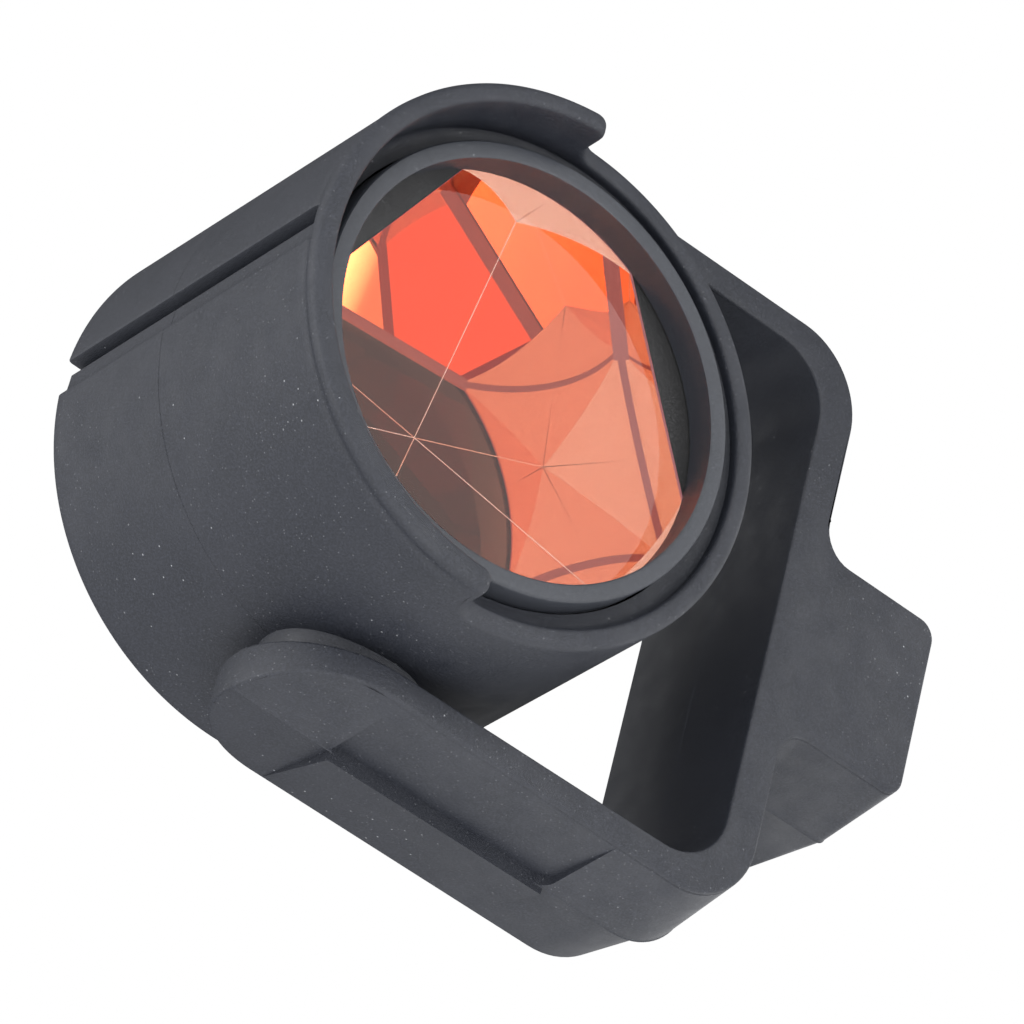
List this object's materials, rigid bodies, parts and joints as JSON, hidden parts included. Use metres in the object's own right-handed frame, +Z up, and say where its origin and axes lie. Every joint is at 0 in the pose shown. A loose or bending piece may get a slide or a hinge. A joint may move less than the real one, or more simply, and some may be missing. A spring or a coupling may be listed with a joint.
{
  "type": "survey prism",
  "caption": "Round corner-cube surveying reflector in a hooded barrel that tilts in a one-piece yoke, with a spring latch for a round spigot in the base.",
  "frame": {"origin": "centre of the spigot socket's mouth, in the plane of the base's underside", "axes": "+X along the tilt axis, +Y away from the glass, towards the back, +Z up along the spigot socket"},
  "size_m": [0.1002, 0.0657, 0.1277],
  "materials": {
    "black_polymer": "fine matte moulded grain",
    "anodised_shell": "black anodised, satin",
    "cover_polymer": "fine matte",
    "optical_glass": "polished",
    "copper_coating": "bright evaporated copper under lacquer",
    "black_rubber": "matte",
    "steel": "bright turned",
    "acetal": "smooth",
    "brass": "turned",
    "latch_polymer": "smooth moulded",
    "base_metal": "black anodised"
  },
  "bodies": {
    "yoke": {"yoke_frame": "black_polymer", "bushing_left": "acetal", "bushing_right": "acetal", "spigot_sleeve": "brass", "latch_spring": "steel", "base_plate": "base_metal", "base_plate_screw_1": "steel", "base_plate_screw_2": "steel", "base_plate_screw_3": "steel", "base_plate_screw_4": "steel"},
    "prism": {"holder_barrel": "black_polymer", "canister_body": "anodised_shell", "front_ring": "anodised_shell", "front_gasket": "black_rubber", "prism_glass": "optical_glass", "prism_coating": "copper_coating", "rear_cushion": "black_rubber", "canister_damper": "black_rubber", "lock_ring": "anodised_shell", "back_cover": "cover_polymer", "back_cover_screw_1": "steel", "back_cover_screw_2": "steel", "back_cover_screw_3": "steel", "trunnion_pin_left": "steel", "trunnion_pin_right": "steel", "friction_washer_left": "black_rubber", "friction_washer_right": "black_rubber"},
    "latch": {"latch_slide": "latch_polymer"}
  },
  "joints": [
    {"name": "tilt", "type": "hinge", "parent": "yoke", "child": "prism", "pos_m": [0, 0, 0.086], "axis": [1, 0, 0], "continuous": true},
    {"name": "latch_press", "type": "slide", "parent": "yoke", "child": "latch", "axis": [0, -1, 0], "range_m": [0, 0.0025], "stiffness_N_per_m": 1200, "springref_m": -0.002, "deforming": ["latch_spring"]}
  ]
}
